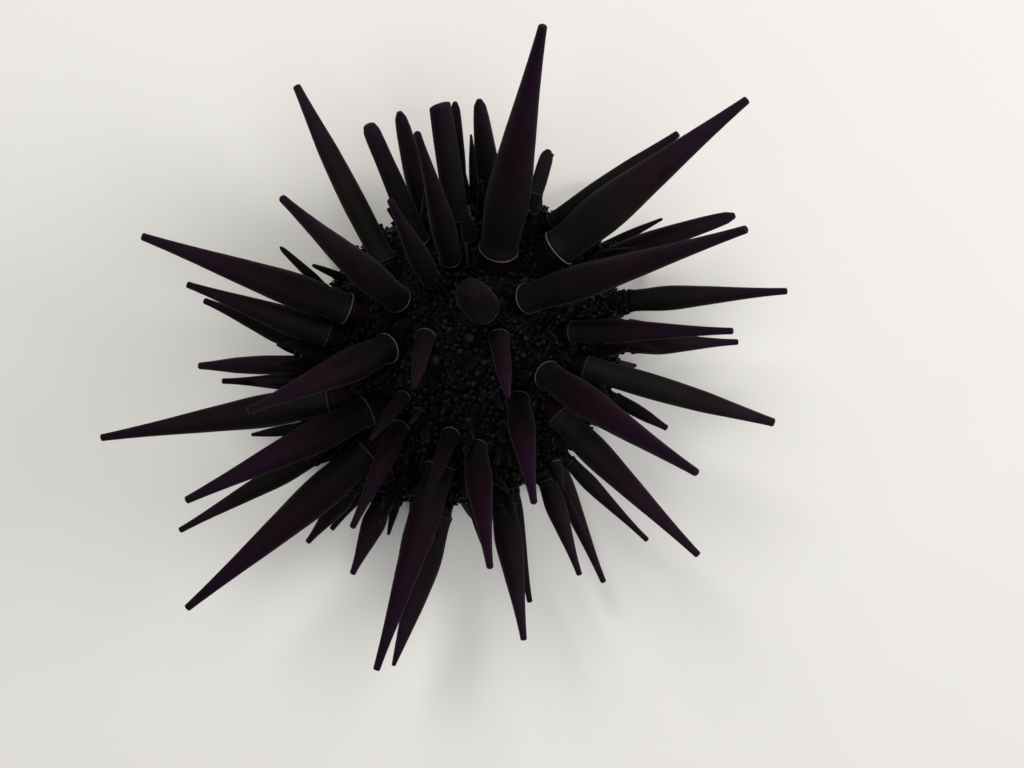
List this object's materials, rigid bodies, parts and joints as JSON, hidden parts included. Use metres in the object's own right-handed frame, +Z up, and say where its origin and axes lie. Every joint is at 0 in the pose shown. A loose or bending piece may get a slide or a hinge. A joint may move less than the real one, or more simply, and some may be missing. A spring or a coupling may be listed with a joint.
{
  "type": "oblong sea urchin",
  "caption": "Still life-size model of a dark purple oblong sea urchin: a low oval test with stout tapering spines all round, an apical disc on top and a toothed mouth beneath.",
  "frame": {"origin": "middle of the bounding box on the floor plane that the foot spines stand on", "axes": "+Z up through the apical disc, +Y towards the top of the picture, +X towards its right; the test's long axis lies 40 degrees from +X towards +Y"},
  "size_m": [0.0674, 0.0644, 0.0441],
  "materials": {
    "test_and_spines": "dark violet-black with a soft sheen",
    "apical_plates": "dull dark brown-violet",
    "membrane": "soft brown-red skin",
    "tooth": "pale enamel"
  },
  "bodies": {
    "root": {"ray1_upper": "test_and_spines", "ray1_lower": "test_and_spines", "ray2_upper": "test_and_spines", "ray2_lower": "test_and_spines", "ray3_upper": "test_and_spines", "ray3_lower": "test_and_spines", "ray4_upper": "test_and_spines", "ray4_lower": "test_and_spines", "ray5_upper": "test_and_spines", "ray5_lower": "test_and_spines", "apical_disc": "apical_plates", "mouth_membrane": "membrane", "tooth_1": "tooth", "tooth_2": "tooth", "tooth_3": "tooth", "tooth_4": "tooth", "tooth_5": "tooth"}
  },
  "joints": []
}
